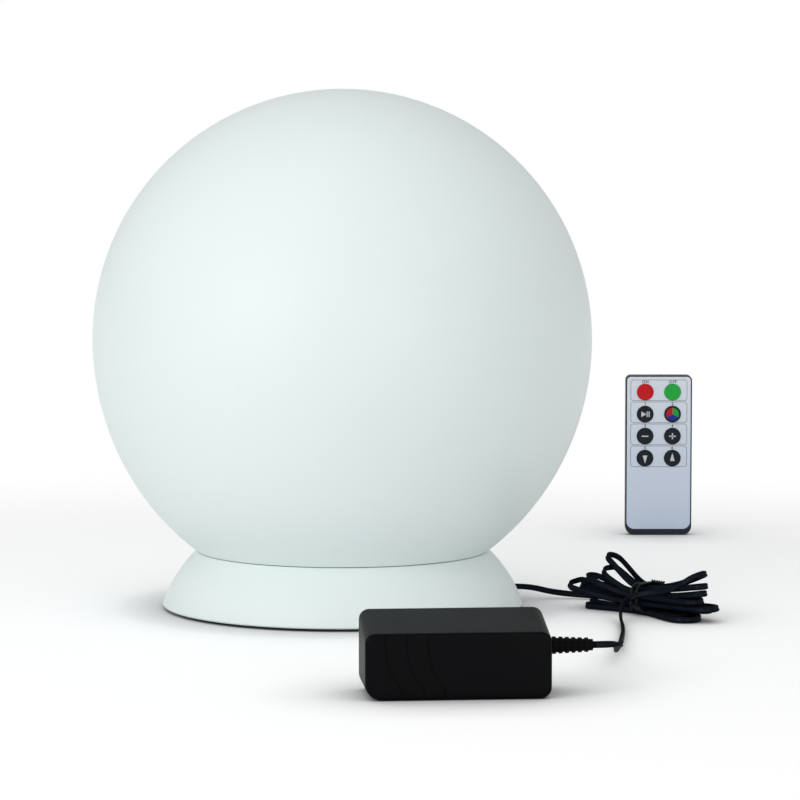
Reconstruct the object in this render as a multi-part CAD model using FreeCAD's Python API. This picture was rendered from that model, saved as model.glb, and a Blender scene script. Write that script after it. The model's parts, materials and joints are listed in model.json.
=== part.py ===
import FreeCAD, Part
import math
import os

from FreeCAD import Vector

# Garden globe light: an opal globe on a flared base, a flat lead tied in a hank, a plug-in adapter
# and a small remote control. Millimetres, +Z up, origin on the lamp's axis where it meets the floor.

os.makedirs("parts", exist_ok=True)

# clearances
seat_gap = 0.3  # between bodies that turn or slide past each other
fit_gap = 0.1  # round a piece in its hole, within one body
slide_gap = 0.2  # round a key or tray

# foot pad and bottom cover
pad_radius = 104.0
pad_thickness = 1.5
cover_radius = 99.0
cover_thickness = 2.5
cover_step = 0.4
seal_thickness = 1.0
seal_width = 3.0
seal_inset = 0.5

# flared base
base_bottom_radius = 108.9
base_top_radius = 88.0
base_height = 33.0
flare_bulge = 2.5
base_wall = 3.0
rim_chamfer = 0.8
ledge_width = 4.0
ledge_height = 8.0
boss_radius = 4.5
boss_circle = 82.0
pilot_radius = 1.15

# turret that carries the light module
turret_radius = 60.0
turret_height = 11.5
wire_hole_radius = 4.0

# globe
globe_radius = 150.0
globe_drop = 157.0  # from the centre down to where the lower curve would close
globe_lift = 0.5  # seam between the base and the globe
seam_overhang = 0.2  # how far the globe's seam stands outside the base's top
globe_wall = 3.0
neck_radius = 70.0

# bayonet
collar_wall = 2.5
collar_foot_width = 5.5
collar_foot_height = 1.8
ledge_reach = 5.0
ledge_thickness = 2.2
ledge_angle = 34.0
stop_angle = 4.0
lug_angle = 30.0
lug_thickness = 3.0
lug_play_angle = 1.0
collar_screw_phase = 75.0
ring_width = 9.0
ring_lap = 1.0
lug_count = 3
ring_screw_count = 6

# gasket
gasket_width = 6.0
gasket_inset = 2.0
gasket_thickness = 1.0
gasket_proud = 0.2

# light module
sink_radius = 54.0
sink_thickness = 3.0
led_board_radius = 42.0
led_board_thickness = 1.6
chip_side = 5.0
chip_height = 1.5
chip_circle = 28.0
chip_count = 12
lens_radius = 45.0
lens_wall = 2.0
lens_skirt = 6.0
lens_rise = 13.0
module_screw_circle = 50.0
module_screw_count = 3

# controller board
board_length = 70.0
board_width = 50.0
board_thickness = 1.6
board_centre_x = 27.0
post_height = 5.0
post_radius = 3.0
post_inset = 5.0
board_blocks = [  # along, across, length, width and height of the chip, the driver and the coil
    (0.0, 0.0, 12.0, 8.0, 2.0), (-18.0, -8.0, 8.0, 8.0, 2.0), (-18.0, 9.0, 12.0, 10.0, 6.0)]
board_capacitors = [(-2.0, -15.0), (10.0, -15.0)]
capacitor_radius = 4.0
capacitor_height = 12.0
terminal_inset = 1.0
receiver_inset = 4.0
terminal_length = 10.0
terminal_width = 16.0
terminal_height = 9.0
receiver_side = 6.0
receiver_height = 7.0

# screws
screw_shank_radius = 1.1
screw_head_radius = 2.6
screw_head_height = 1.2
cover_screw_length = 10.0
ring_screw_length = 4.5
collar_screw_length = 4.5
module_screw_length = 5.5
board_screw_length = 5.0

# lead: a tube of the same section as the flat twin lead
lead_diameter = 2.8
exit_angle = 15.0
exit_z = 8.0
grommet_radius = 2.9
grommet_flange_radius = 3.8
grommet_flange = 1.5
grommet_stand = 0.6
inner_lead_run = 6.0
inner_lead_bends = [(0.766, 0.684, 0.648), (0.596, 0.287, 0.296), (0.34, 0.0, 0.0)]
exit_run = 10.0
boot_run = 9.0

# hank
hank_centre = (181.0, -29.5)
hank_angle = -45.0
hank_bow = 0.0025  # how much the hank bends sideways at its tie, per mm
waist_inner = 2.0
waist_step = 4.8
layer_step = 4.3
lobe_slope = 1.4  # how steeply a lifted lobe leaves, against lift over reach
lobe_drop = 1.2  # how much lower its neck is than its tip
hank_run_in = 16.0
hank_run_out = 5.0
floor_gap = 0.1
tie_wall = 1.2
tie_length = 6.0

# adapter
adapter_length = 98.0
adapter_depth = 45.0
adapter_front_height = 35.0
adapter_slope = 10.0
adapter_wall = 2.5
adapter_split = 37.5
adapter_place = (16.5, -356.0)
adapter_yaw = 5.0
adapter_round_low_left = 9.0
adapter_round_low_right = 6.0
adapter_round_top = 5.5
adapter_edge_round = 2.2
groove_width = 1.3
groove_depth = 0.9
groove_pitch = 11.2
groove_count = 3
blade_length = 16.0
blade_width = 6.3
blade_thickness = 1.5
blade_spacing = 12.7
blade_height = 21.0
blade_offset = 30.0
boot_length = 24.0
boot_start_radius = 4.1
boot_end_radius = 3.0
boot_rib_count = 6
boot_rib_height = 0.7
boot_height = 25.0
boot_depth = 22.0
adapter_post_radius = 3.0
adapter_screw_inset_left = 14.0
adapter_screw_inset_right = 10.0
adapter_screw_height_left = 16.0
adapter_screw_height_right = 12.0
adapter_screw_length = 16.0
blade_stop_width = 6.0
blade_stop_height = 10.0
blade_tail = 6.0
groove_start = 10.8
adapter_board_inset = 22.0
adapter_board_depth = 14.0
transformer_length = 22.0
transformer_depth = 17.4
transformer_height = 20.0
transformer_lift = 4.0
adapter_capacitor_radius = 4.5
adapter_capacitor_length = 16.0
adapter_capacitor_height = 14.0
adapter_capacitor_gap = 11.0

# remote
remote_width = 45.5
remote_height = 110.0
remote_thickness = 9.6
remote_place = (212.5, 350.0)
remote_wall = 1.6
remote_rim = 0.8
remote_back_wall = 1.3
remote_round_low = 6.0
remote_round_top = 3.5
face_thickness = 1.0
face_low = 3.9
key_radius = 5.6
key_spacing = 18.8
key_pitch = 15.2
key_inset = 11.4  # from the remote's top to the first row
key_proud = 0.8
key_travel = 0.5
key_flange = 0.8
key_flange_thickness = 0.6
contact_radius = 3.0
contact_thickness = 0.3
remote_board_thickness = 1.0
tray_width = 23.4
tray_length = 30.0
tray_thickness = 3.2
cell_radius = 10.0
cell_thickness = 2.5
cell_height = 16.0
tray_rail = 1.3
tray_rail_past = 3.0
board_post_width = 2.0
cell_play = 0.1
grip_radius = 4.0
grip_depth = 1.4
emitter_radius = 2.5
emitter_length = 8.0

# heights worked out from the sizes above
pad_top = pad_thickness
cover_top = pad_top + cover_thickness
ledge_z = cover_top + seal_thickness
base_top = pad_top + base_height
deck_bottom = base_top - base_wall
turret_top = base_top + turret_height
globe_bottom = base_top + globe_lift
seam_share = math.sqrt(1 - ((base_top_radius + seam_overhang) / globe_radius) ** 2)
globe_centre_z = globe_bottom + globe_drop * seam_share
flange_top = globe_bottom + globe_wall
lug_top = flange_top + lug_thickness
board_bottom = cover_top + post_height
board_top = board_bottom + board_thickness
sink_top = turret_top + sink_thickness
led_board_top = sink_top + led_board_thickness
collar_inner = turret_radius + fit_gap
collar_outer = collar_inner + collar_wall
lead_radius = lead_diameter / 2
lead_floor = lead_radius + floor_gap
up = Vector(0, 0, 1)


def disc(radius, low, high, x=0.0, y=0.0):
    return Part.makeCylinder(radius, high - low, Vector(x, y, low))


def ring(outer, inner, low, high):
    return disc(outer, low, high).cut(disc(inner, low - 1, high + 1))


def block(x0, x1, y0, y1, z0, z1):
    return Part.makeBox(x1 - x0, y1 - y0, z1 - z0, Vector(x0, y0, z0))


def sector(outer, inner, low, high, start, sweep):
    """A piece of a ring from the angle start, sweep degrees wide."""
    wedge = Part.makeCylinder(outer, high - low, Vector(0, 0, low), up, sweep)
    wedge = wedge.cut(disc(inner, low - 1, high + 1))
    wedge.rotate(Vector(), up, start)
    return wedge


def around(count, radius, phase=0.0):
    angles = [math.radians(phase + 360.0 * i / count) for i in range(count)]
    return [(radius * math.cos(a), radius * math.sin(a)) for a in angles]


def screw(x, y, seat, length, pointing=-1):
    """A pan-head screw whose head stands on seat; pointing is -1 for down and 1 for up."""
    head = disc(screw_head_radius, 0, screw_head_height)
    shank = disc(screw_shank_radius, -length, 0)
    body = head.fuse(shank).removeSplitter()
    if pointing > 0:
        body.rotate(Vector(), Vector(1, 0, 0), 180)
    body.translate(Vector(x, y, seat))
    return body


def fillet(shape, radius, wanted):
    edges = [e for e in shape.Edges if wanted(e)]
    return shape.makeFillet(radius, edges)


def revolve(edges):
    face = Part.Face(Part.Wire(edges))
    return face.revolve(Vector(), up, 360)


def line(a, b):
    return Part.LineSegment(Vector(*a), Vector(*b)).toShape()


def arc(a, b, c):
    return Part.Arc(Vector(*a), Vector(*b), Vector(*c)).toShape()


def save(name, *solids):
    shape = solids[0] if len(solids) == 1 else Part.makeCompound(list(solids))
    if not shape.isValid():
        print("not valid:", name)
    shape.exportStep("parts/" + name + ".step")
    print(name, len(shape.Solids), round(shape.Volume, 1))


# ---- flared base ----


def flare(inset):
    """Bottom, middle and top point of the base's curved side, moved in by inset."""
    r0, z0 = base_bottom_radius - inset, pad_top
    r1, z1 = base_top_radius - inset, base_top
    length = math.hypot(r0 - r1, z1 - z0)
    out = (z1 - z0) / length
    rise = (r0 - r1) / length
    middle = ((r0 + r1) / 2 + flare_bulge * out, (z0 + z1) / 2 + flare_bulge * rise)
    return (r0, z0), middle, (r1, z1)


def flare_radius_at(z, inset=0.0):
    """Radius of the curved side at the height z."""
    (r0, z0), (rm, zm), (r1, z1) = flare(inset)
    side = Part.Arc(Vector(r0, 0, z0), Vector(rm, 0, zm), Vector(r1, 0, z1)).toShape()
    level = line((0, 0, z), (2 * r0, 0, z))
    return side.distToShape(level)[1][0][0].x


def exit_frame():
    a = math.radians(exit_angle)
    return Vector(math.cos(a), math.sin(a), 0)


def boss_places():
    return around(4, boss_circle, 45)


def base_shell():
    (r0, z0), (rm, zm), (r1, z1) = flare(0)
    (i0, j0), (im, jm), (i1, j1) = flare(base_wall)
    outer = revolve([
        line((0, 0, z0), (r0, 0, z0)), arc((r0, 0, z0), (rm, 0, zm), (r1, 0, z1)),
        line((r1, 0, z1), (0, 0, z1)), line((0, 0, z1), (0, 0, z0))])
    hollow = revolve([
        line((0, 0, j0), (i0, 0, j0)), arc((i0, 0, j0), (im, 0, jm), (i1, 0, j1)),
        line((i1, 0, j1), (0, 0, j1)), line((0, 0, j1), (0, 0, j0))])
    hollow = hollow.common(disc(r0, z0, deck_bottom))
    ledge_inner = cover_radius - ledge_width
    hollow = hollow.cut(ring(r0, ledge_inner, z0 - 1, ledge_z + ledge_height))
    body = outer.cut(hollow)
    body = body.cut(disc(cover_radius + cover_step, z0 - 1, ledge_z))
    turret = disc(turret_radius, deck_bottom, turret_top)
    turret = turret.cut(disc(turret_radius - base_wall, deck_bottom - 1, turret_top - base_wall))
    turret = turret.cut(disc(wire_hole_radius, turret_top - base_wall - 1, turret_top + 1))
    body = body.cut(disc(turret_radius - base_wall, deck_bottom - 1, base_top + 1)).fuse(turret)
    gasket_outer = base_top_radius - gasket_inset
    groove_floor = base_top - gasket_thickness + gasket_proud
    body = body.cut(ring(gasket_outer, gasket_outer - gasket_width, groove_floor, base_top + 1))
    for x, y in boss_places():
        body = body.fuse(disc(boss_radius, cover_top, deck_bottom, x, y))
        body = body.cut(disc(pilot_radius, cover_top - 1, deck_bottom - base_wall, x, y))
    for x, y in around(lug_count, collar_outer + collar_foot_width / 2, collar_screw_phase):
        body = body.cut(disc(pilot_radius, deck_bottom - 1, base_top + 1, x, y))
    for x, y in around(module_screw_count, module_screw_circle):
        body = body.cut(disc(pilot_radius, turret_top - base_wall - 1, turret_top + 1, x, y))
    along = exit_frame()
    hole = Part.makeCylinder(
        grommet_radius + fit_gap, base_bottom_radius, along * (ledge_inner - 3) + up * exit_z, along)
    body = body.cut(hole)
    bottom_rim = [e for e in body.Edges if on_bottom_rim(e)]
    return body.makeChamfer(rim_chamfer, bottom_rim).removeSplitter()


def on_bottom_rim(edge):
    box = edge.BoundBox
    return abs(box.ZMax - pad_top) < 0.01 and abs(box.XMax - base_bottom_radius) < 0.01


def foot_pad():
    pad = disc(pad_radius, 0, pad_top)
    for x, y in boss_places():
        pad = pad.cut(disc(screw_head_radius + 1, -1, pad_top + 1, x, y))
    return pad


def board_corners():
    xs = [board_centre_x + s * (board_length / 2 - post_inset) for s in (-1, 1)]
    ys = [s * (board_width / 2 - post_inset) for s in (-1, 1)]
    return [(x, y) for x in xs for y in ys]


def bottom_cover():
    body = disc(cover_radius, pad_top, cover_top)
    for x, y in board_corners():
        body = body.fuse(disc(post_radius, pad_top, board_bottom, x, y))
        body = body.cut(disc(pilot_radius, cover_top, board_bottom + 1, x, y))
    for x, y in boss_places():
        body = body.cut(disc(screw_shank_radius + fit_gap, 0, cover_top + 1, x, y))
        sunk = pad_top + screw_head_height
        body = body.cut(disc(screw_head_radius + fit_gap, 0, sunk, x, y))
    return body


def cover_seal():
    outer = cover_radius - seal_inset
    return ring(outer, outer - seal_width, cover_top, ledge_z)


def cover_screws():
    seat = pad_top + screw_head_height
    return [screw(x, y, seat, cover_screw_length, 1) for x, y in boss_places()]


def neck_gasket():
    outer = base_top_radius - gasket_inset - fit_gap
    low = base_top - gasket_thickness + gasket_proud
    return ring(outer, outer - gasket_width + 2 * fit_gap, low, low + gasket_thickness)


# ---- globe ----


def globe_radius_at(z, inset=0.0):
    share = (globe_centre_z - z) / (globe_drop - inset)
    return (globe_radius - inset) * math.sqrt(1 - share * share)


def globe_side(z, inset):
    """The globe's outline from the height z up to the top: an ellipse, then a circle."""
    r = globe_radius - inset
    centre = Vector(0, 0, globe_centre_z)
    side, pole = centre + Vector(r, 0, 0), centre - up * (globe_drop - inset)
    major, minor = sorted((side, pole), key=centre.distanceToPoint, reverse=True)
    low_ellipse = Part.Ellipse(major, minor, centre)
    start = Vector(globe_radius_at(z, inset), 0, z)
    first, last = sorted((low_ellipse.parameter(start), low_ellipse.parameter(side)))
    if last - first > math.pi:
        first, last = last, first + 2 * math.pi
    lower = Part.ArcOfEllipse(low_ellipse, first, last).toShape()
    half = r * math.sqrt(0.5)
    upper = arc((r, 0, globe_centre_z), (half, 0, globe_centre_z + half), (0, 0, globe_centre_z + r))
    return start, lower, upper


def globe_shell():
    out_start, out_low, out_high = globe_side(globe_bottom, 0)
    in_start, in_low, in_high = globe_side(flange_top, globe_wall)
    solid = revolve([
        line((0, 0, globe_bottom), tuple(out_start)), out_low, out_high,
        line((0, 0, globe_centre_z + globe_radius), (0, 0, globe_bottom))])
    hollow = revolve([
        line((0, 0, flange_top), tuple(in_start)), in_low, in_high,
        line((0, 0, globe_centre_z + globe_radius - globe_wall), (0, 0, flange_top))])
    body = solid.cut(hollow).cut(disc(neck_radius, globe_bottom - 1, flange_top + 1))
    for x, y in ring_screw_places():
        body = body.cut(disc(pilot_radius, globe_bottom + 1, flange_top + 1, x, y))
    return body


def ring_screw_places():
    return around(ring_screw_count, neck_radius - ring_lap + ring_width / 2, 30)


def neck_ring():
    body = ring(neck_radius - ring_lap + ring_width, neck_radius - ring_lap, flange_top, lug_top)
    for i in range(lug_count):
        start = 360.0 * i / lug_count
        lug = sector(neck_radius, collar_outer + seat_gap, flange_top, lug_top, start, lug_angle)
        body = body.fuse(lug)
    for x, y in ring_screw_places():
        body = body.cut(disc(screw_shank_radius + fit_gap, flange_top - 1, lug_top + 1, x, y))
    return body.removeSplitter()


def ring_screws():
    return [screw(x, y, lug_top, ring_screw_length) for x, y in ring_screw_places()]


def bayonet_collar():
    foot = ring(collar_outer + collar_foot_width, collar_inner, base_top, base_top + collar_foot_height)
    low_ledge = lug_top + seat_gap
    body = ring(collar_outer, collar_inner, base_top, low_ledge + ledge_thickness).fuse(foot)
    for i in range(lug_count):
        middle = 360.0 * i / lug_count + lug_angle / 2
        start = middle - ledge_angle / 2
        reach = collar_outer + ledge_reach
        ledge = sector(reach, collar_inner, low_ledge, low_ledge + ledge_thickness, start, ledge_angle)
        stop_start = 360.0 * i / lug_count - lug_play_angle - stop_angle
        stop_low = base_top + collar_foot_height
        stop = sector(reach, collar_inner, stop_low, low_ledge + ledge_thickness, stop_start,
                      stop_angle)
        body = body.fuse(ledge).fuse(stop)
    for x, y in around(lug_count, collar_outer + collar_foot_width / 2, collar_screw_phase):
        body = body.cut(disc(screw_shank_radius + fit_gap, base_top - 1, base_top + 4, x, y))
    return body.removeSplitter()


def collar_screws():
    places = around(lug_count, collar_outer + collar_foot_width / 2, collar_screw_phase)
    return [screw(x, y, base_top + collar_foot_height, collar_screw_length) for x, y in places]


# ---- light module ----


def led_heatsink():
    body = disc(sink_radius, turret_top, sink_top)
    body = body.cut(disc(wire_hole_radius, turret_top - 1, sink_top + 1))
    for x, y in around(module_screw_count, module_screw_circle):
        body = body.cut(disc(screw_shank_radius + fit_gap, turret_top - 1, sink_top + 1, x, y))
    return body


def led_board():
    body = disc(led_board_radius, sink_top, led_board_top)
    return body.cut(disc(wire_hole_radius, sink_top - 1, led_board_top + 1))


def led_chips():
    chips = []
    half = chip_side / 2
    for x, y in around(chip_count, chip_circle):
        chips.append(block(x - half, x + half, y - half, y + half, led_board_top,
                           led_board_top + chip_height))
    return chips


def lens_outline(radius, low, shoulder, top):
    """A straight skirt under a spherical dome."""
    rise = top - shoulder
    sphere = (radius * radius + rise * rise) / (2 * rise)
    half_turn = math.asin(radius / sphere) / 2
    middle = (sphere * math.sin(half_turn), 0, top - sphere * (1 - math.cos(half_turn)))
    return [line((0, 0, low), (radius, 0, low)), line((radius, 0, low), (radius, 0, shoulder)),
            arc((radius, 0, shoulder), middle, (0, 0, top)), line((0, 0, top), (0, 0, low))]


def led_lens():
    shoulder = sink_top + lens_skirt
    top = shoulder + lens_rise
    outer = revolve(lens_outline(lens_radius, sink_top, shoulder, top))
    inner = revolve(lens_outline(lens_radius - lens_wall, sink_top - 1, shoulder, top - lens_wall))
    return outer.cut(inner)


def module_screws():
    places = around(module_screw_count, module_screw_circle)
    return [screw(x, y, sink_top, module_screw_length) for x, y in places]


# ---- controller board ----


def controller_board():
    half_l, half_w = board_length / 2, board_width / 2
    board = block(board_centre_x - half_l, board_centre_x + half_l, -half_w, half_w,
                  board_bottom, board_top)
    for x, y in board_corners():
        board = board.cut(disc(screw_shank_radius + fit_gap, board_bottom - 1, board_top + 1, x, y))
    return board


def board_screws():
    return [screw(x, y, board_top, board_screw_length) for x, y in board_corners()]


def board_parts():
    pieces = []
    for x, y, length, width, height in board_blocks:
        middle = board_centre_x + x
        pieces.append(block(middle - length / 2, middle + length / 2, y - width / 2, y + width / 2,
                            board_top, board_top + height))
    for x, y in board_capacitors:
        pieces.append(disc(capacitor_radius, board_top, board_top + capacitor_height,
                           board_centre_x + x, y))
    return pieces


def terminal_side():
    return board_centre_x + board_length / 2 - terminal_inset


def terminal_block():
    return block(terminal_side() - terminal_length, terminal_side(), -terminal_width / 2,
                 terminal_width / 2, board_top, board_top + terminal_height)


def ir_receiver():
    x = board_centre_x - board_length / 2 + receiver_inset
    half = receiver_side / 2
    body = block(x - half, x + half, -half, half, board_top, board_top + receiver_height)
    dome = Part.makeSphere(receiver_side / 3, Vector(x - half, 0, board_top + receiver_height / 2))
    return body.fuse(dome)


# ---- lead ----


def rounded_path(points, label):
    """Straight runs joined by tangent arcs, each as large as its two runs allow."""
    edges, radii = [], []
    start = points[0]
    for before, here, after in zip(points, points[1:], points[2:]):
        a, b = here - before, after - here
        turn = a.getAngle(b)
        share = 0.45 * min(a.Length, b.Length)
        radii.append(share / math.tan(turn / 2))
        way_in, way_out = Vector(a).normalize(), Vector(b).normalize()
        first, last = here - way_in * share, here + way_out * share
        inwards = (way_out - way_in).normalize()
        depth = radii[-1] * (1 / math.cos(turn / 2) - 1)
        edges.append(Part.LineSegment(start, first).toShape())
        edges.append(Part.Arc(first, here + inwards * depth, last).toShape())
        start = last
    edges.append(Part.LineSegment(start, points[-1]).toShape())
    print(label, "radii", [round(r, 1) for r in radii])
    return edges


def tube_along(edges, label):
    path = Part.Wire(edges)
    first = edges[0]
    way = first.tangentAt(first.FirstParameter)
    start = first.valueAt(first.FirstParameter)
    section = Part.Wire([Part.Circle(start, way, lead_radius).toShape()])
    solid = path.makePipeShell([section], True, False)
    expected = math.pi * lead_radius ** 2 * path.Length
    print(label, "length", round(path.Length, 1), "volume share", round(solid.Volume / expected, 4))
    return solid


def grommet_ends():
    along = exit_frame()
    inner = cover_radius - ledge_width - grommet_flange
    outer = flare_radius_at(exit_z) + grommet_stand
    return along * inner + up * exit_z, along * outer + up * exit_z


def cord_grommet():
    inner, outer = grommet_ends()
    along = exit_frame()
    body = Part.makeCylinder(grommet_radius, (outer - inner).Length, inner, along)
    return body.fuse(Part.makeCylinder(grommet_flange_radius, grommet_flange - seat_gap, inner, along))


def inner_lead():
    inner, _ = grommet_ends()
    plug = Vector(terminal_side(), 0, board_top + terminal_height / 2)
    first = inner - exit_frame() * inner_lead_run
    way = first - plug
    bends = [plug + Vector(way.x * a, way.y * b, way.z * c) for a, b, c in inner_lead_bends]
    return tube_along(rounded_path([inner, first] + bends + [plug], "inner_lead"), "inner_lead")


# hank: eight loops, drawn in at the tie. A slot is a layer and a place across it, and each lobe has
# how far it reaches, where its tip lies across the hank, how far the tip lifts and its half width.
loop_slots = [(0, 1), (0, 0), (1, 0), (1, 1), (2, 1), (2, 0), (3, 0), (3, 1)]
right_lobes = [(49, -5, 0, 10.4), (36, -4, 0, 5), (53, 3.5, 0.5, 5), (58, 3.5, 2, 8.5),
               (49, -1.5, 1.5, 7.3), (54, -2, 7, 5), (52, 0.5, 6.5, 5), (46, 4, 13, 7.5)]
left_lobes = [(39, -3.5, 0, 5), (38, 0, 2.5, 5), (49, 5, 6.5, 5), (49, -5.5, 6.5, 5),
              (37, -5.5, 9.5, 5), (30, 0.5, 11.5, 5), (32, 6, 17, 5)]
hank_start = (-38.0, 24.0, 0.0)
hank_start_way = (1.0, -0.42, 0.0)
hank_end = (22.0, -12.0, 0.5)
hank_end_way = (-1.0, -0.35, -0.1)


def hank_point(u, v, z):
    """From along, across and up in the hank's own frame to the lamp's frame."""
    bent = v - hank_bow * u * u
    a = math.radians(hank_angle)
    return Vector(hank_centre[0] + u * math.cos(a) - bent * math.sin(a),
                  hank_centre[1] + u * math.sin(a) + bent * math.cos(a), z)


def hank_way(u, way):
    across = way[1] - 2 * hank_bow * u * way[0]
    a = math.radians(hank_angle)
    return Vector(way[0] * math.cos(a) - across * math.sin(a),
                  way[0] * math.sin(a) + across * math.cos(a), way[2]).normalize()


def slot_place(slot, side):
    layer, nest = slot
    return side * (waist_inner + nest * waist_step), lead_floor + layer * layer_step


def lobe_knots(side, lobe, low, high):
    """Out along a lobe, round its tip and back; side is 1 to the right and -1 to the left."""
    reach, across, lift, half_width = lobe
    slope = lobe_slope * lift / reach
    rise = lift * (1 - lobe_drop * half_width / reach)
    neck, tip = side * (reach - half_width), side * reach
    return [
        (hank_point(neck, across + side * half_width, low + rise), hank_way(neck, (side, 0, slope))),
        (hank_point(tip, across, (low + high) / 2 + lift), hank_way(tip, (0, -side, 0))),
        (hank_point(neck, across - side * half_width, high + rise), hank_way(neck, (-side, 0, -slope)))]


def hank_knots():
    """The point and direction at each waist pass, neck and tip."""
    u, v, z = hank_start
    knots = [(hank_point(u, v, z + lead_floor), hank_way(u, hank_start_way))]
    last = len(loop_slots) - 1
    for i, slot in enumerate(loop_slots):
        v_in, z_in = slot_place(slot, 1)
        v_out, z_out = slot_place(slot, -1)
        knots.append((hank_point(0, v_in, z_in), hank_way(0, (1, 0, 0))))
        knots += lobe_knots(1, right_lobes[i], z_in, z_out)
        if i == last:
            u, v, z = hank_end
            knots[-1] = (hank_point(u, v, z_out + z), hank_way(u, hank_end_way))
            return knots
        knots.append((hank_point(0, v_out, z_out), hank_way(0, (-1, 0, 0))))
        z_next = slot_place(loop_slots[i + 1], 1)[1]
        knots += lobe_knots(-1, left_lobes[i], z_out, z_next)


def arc_from(start, way, end):
    """The arc that leaves start along way and reaches end."""
    chord = end - start
    turn = way.getAngle(chord)
    radius = chord.Length / (2 * math.sin(turn))
    side = (chord - way * chord.dot(way)).normalize()
    centre = start + side * radius
    middle = centre - side * (radius * math.cos(turn)) + way * (radius * math.sin(turn))
    return Part.Arc(start, middle, end), radius


def biarc(start, way_in, end, way_out):
    """Two arcs that meet smoothly and join two points with their directions."""
    span, ways = end - start, way_in + way_out
    spread = 2 * (1 - way_in.dot(way_out))
    along = span.dot(ways)
    if spread < 1e-9:
        step = span.dot(span) / (2 * along)
    else:
        step = (-along + math.sqrt(along * along + spread * span.dot(span))) / spread
    near, far = start + way_in * step, end - way_out * step
    joint = (near + far) * 0.5
    first = arc_from(start, way_in, joint)
    second = arc_from(joint, (far - near).normalize(), end)
    return [first, second]


def least_gap(curves):
    """The smallest gap of the tube to itself, measured on points along it."""
    points, run, travelled = [], 0.0, []
    for curve in curves:
        steps = max(4, int(curve.length() / 2.0))
        low, high = curve.FirstParameter, curve.LastParameter
        for i in range(steps):
            points.append(curve.value(low + (high - low) * i / steps))
            travelled.append(run + curve.length() * i / steps)
        run += curve.length()
    least = run
    for i, a in enumerate(points):
        for j in range(i + 1, len(points)):
            if travelled[j] - travelled[i] > 5 * lead_diameter:
                least = min(least, a.distanceToPoint(points[j]))
    return least - lead_diameter


def cord_hank():
    knots = hank_knots()
    curves, radii = [], []
    for (a, way_a), (b, way_b) in zip(knots, knots[1:]):
        for curve, radius in biarc(a, way_a, b, way_b):
            curves.append(curve)
            radii.append(radius)
    print("cord_hank least radius", round(min(radii), 1), "least gap", round(least_gap(curves), 2))
    first, last = hank_ends()
    edges = [line(tuple(first), tuple(knots[0][0]))]
    edges += [c.toShape() for c in curves]
    edges.append(line(tuple(knots[-1][0]), tuple(last)))
    return tube_along(edges, "cord_hank")


def hank_ends():
    """Where the hank meets the two free stretches, one diameter beyond its loops."""
    knots = hank_knots()
    (start, way_in), (end, way_out) = knots[0], knots[-1]
    return start - way_in * lead_diameter, end + way_out * lead_diameter


def base_lead():
    _, outer = grommet_ends()
    end, _ = hank_ends()
    before = end - hank_knots()[0][1] * hank_run_in
    points = [outer, outer + exit_frame() * exit_run, Vector(130.0, 35.0, 3.0), before, end]
    return tube_along(rounded_path(points, "base_lead"), "base_lead")


def adapter_point(x, y, z):
    """From the adapter's own frame (along, deep, up) to the lamp's frame."""
    a = math.radians(adapter_yaw)
    return Vector(adapter_place[0] + x * math.cos(a) - y * math.sin(a),
                  adapter_place[1] + x * math.sin(a) + y * math.cos(a), z)


adapter_lead_points = [
    (173.5, -48.4, 12.6), (167.5, -52.0, 10.2), (164.8, -60.5, 6.2), (164.2, -73.5, 2.8),
    (164.4, -94.0, lead_floor), (163.0, -124.0, lead_floor), (160.5, -152.0, 1.9),
    (157.5, -182.0, 3.2), (154.5, -214.0, 6.0), (152.0, -243.0, 10.2), (151.3, -266.0, 14.6),
    (152.0, -286.0, 19.0), (152.5, -302.0, 22.4), (151.8, -313.5, 24.3)]


def adapter_lead():
    _, start = hank_ends()
    end = adapter_point(adapter_length + boot_length, boot_depth, boot_height)
    before = adapter_point(adapter_length + boot_length + boot_run, boot_depth, boot_height)
    after = start + hank_knots()[-1][1] * hank_run_out
    points = [start, after] + [Vector(*p) for p in adapter_lead_points] + [before, end]
    return tube_along(rounded_path(points, "adapter_lead"), "adapter_lead")


def hank_tie():
    half_width = waist_inner + waist_step + lead_radius + seat_gap
    top_layer = max(layer for layer, _ in loop_slots)
    high = lead_floor + top_layer * layer_step + lead_radius + seat_gap
    low = floor_gap
    outer = block(-tie_length / 2, tie_length / 2, -half_width - tie_wall, half_width + tie_wall,
                  low, high + tie_wall)
    inner = block(-tie_length, tie_length, -half_width, half_width, -1, high)
    tie = outer.cut(inner)
    tie.rotate(Vector(), up, hank_angle)
    tie.translate(Vector(hank_centre[0], hank_centre[1], 0))
    return tie


# ---- adapter ----


def adapter_back_height():
    return adapter_front_height + adapter_depth * math.tan(math.radians(adapter_slope))


def adapter_form(inset):
    """The housing as one block, inset by the wall for its hollow."""
    slope = math.tan(math.radians(adapter_slope))
    y0, y1 = inset, adapter_depth - inset
    top0 = adapter_front_height + y0 * slope - inset
    top1 = adapter_front_height + y1 * slope - inset
    side = Part.makePolygon([Vector(inset, y0, inset), Vector(inset, y1, inset),
                             Vector(inset, y1, top1), Vector(inset, y0, top0),
                             Vector(inset, y0, inset)])
    solid = Part.Face(side).extrude(Vector(adapter_length - 2 * inset, 0, 0))
    rounds = [("left", "low", adapter_round_low_left), ("right", "low", adapter_round_low_right),
              ("left", "top", adapter_round_top), ("right", "top", adapter_round_top)]
    for side_name, level, radius in rounds:
        left, low = side_name == "left", level == "low"
        reach = max(radius - inset, 0.5)

        def wanted(edge):
            middle = edge.CenterOfMass
            deep = edge.BoundBox.YLength > adapter_depth - 3 * adapter_wall
            return (deep and (middle.x < adapter_length / 2) == left
                    and (middle.z < adapter_front_height / 2) == low
                    and edge.BoundBox.XLength < 0.1)

        solid = fillet(solid, reach, wanted)
    return solid


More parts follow.
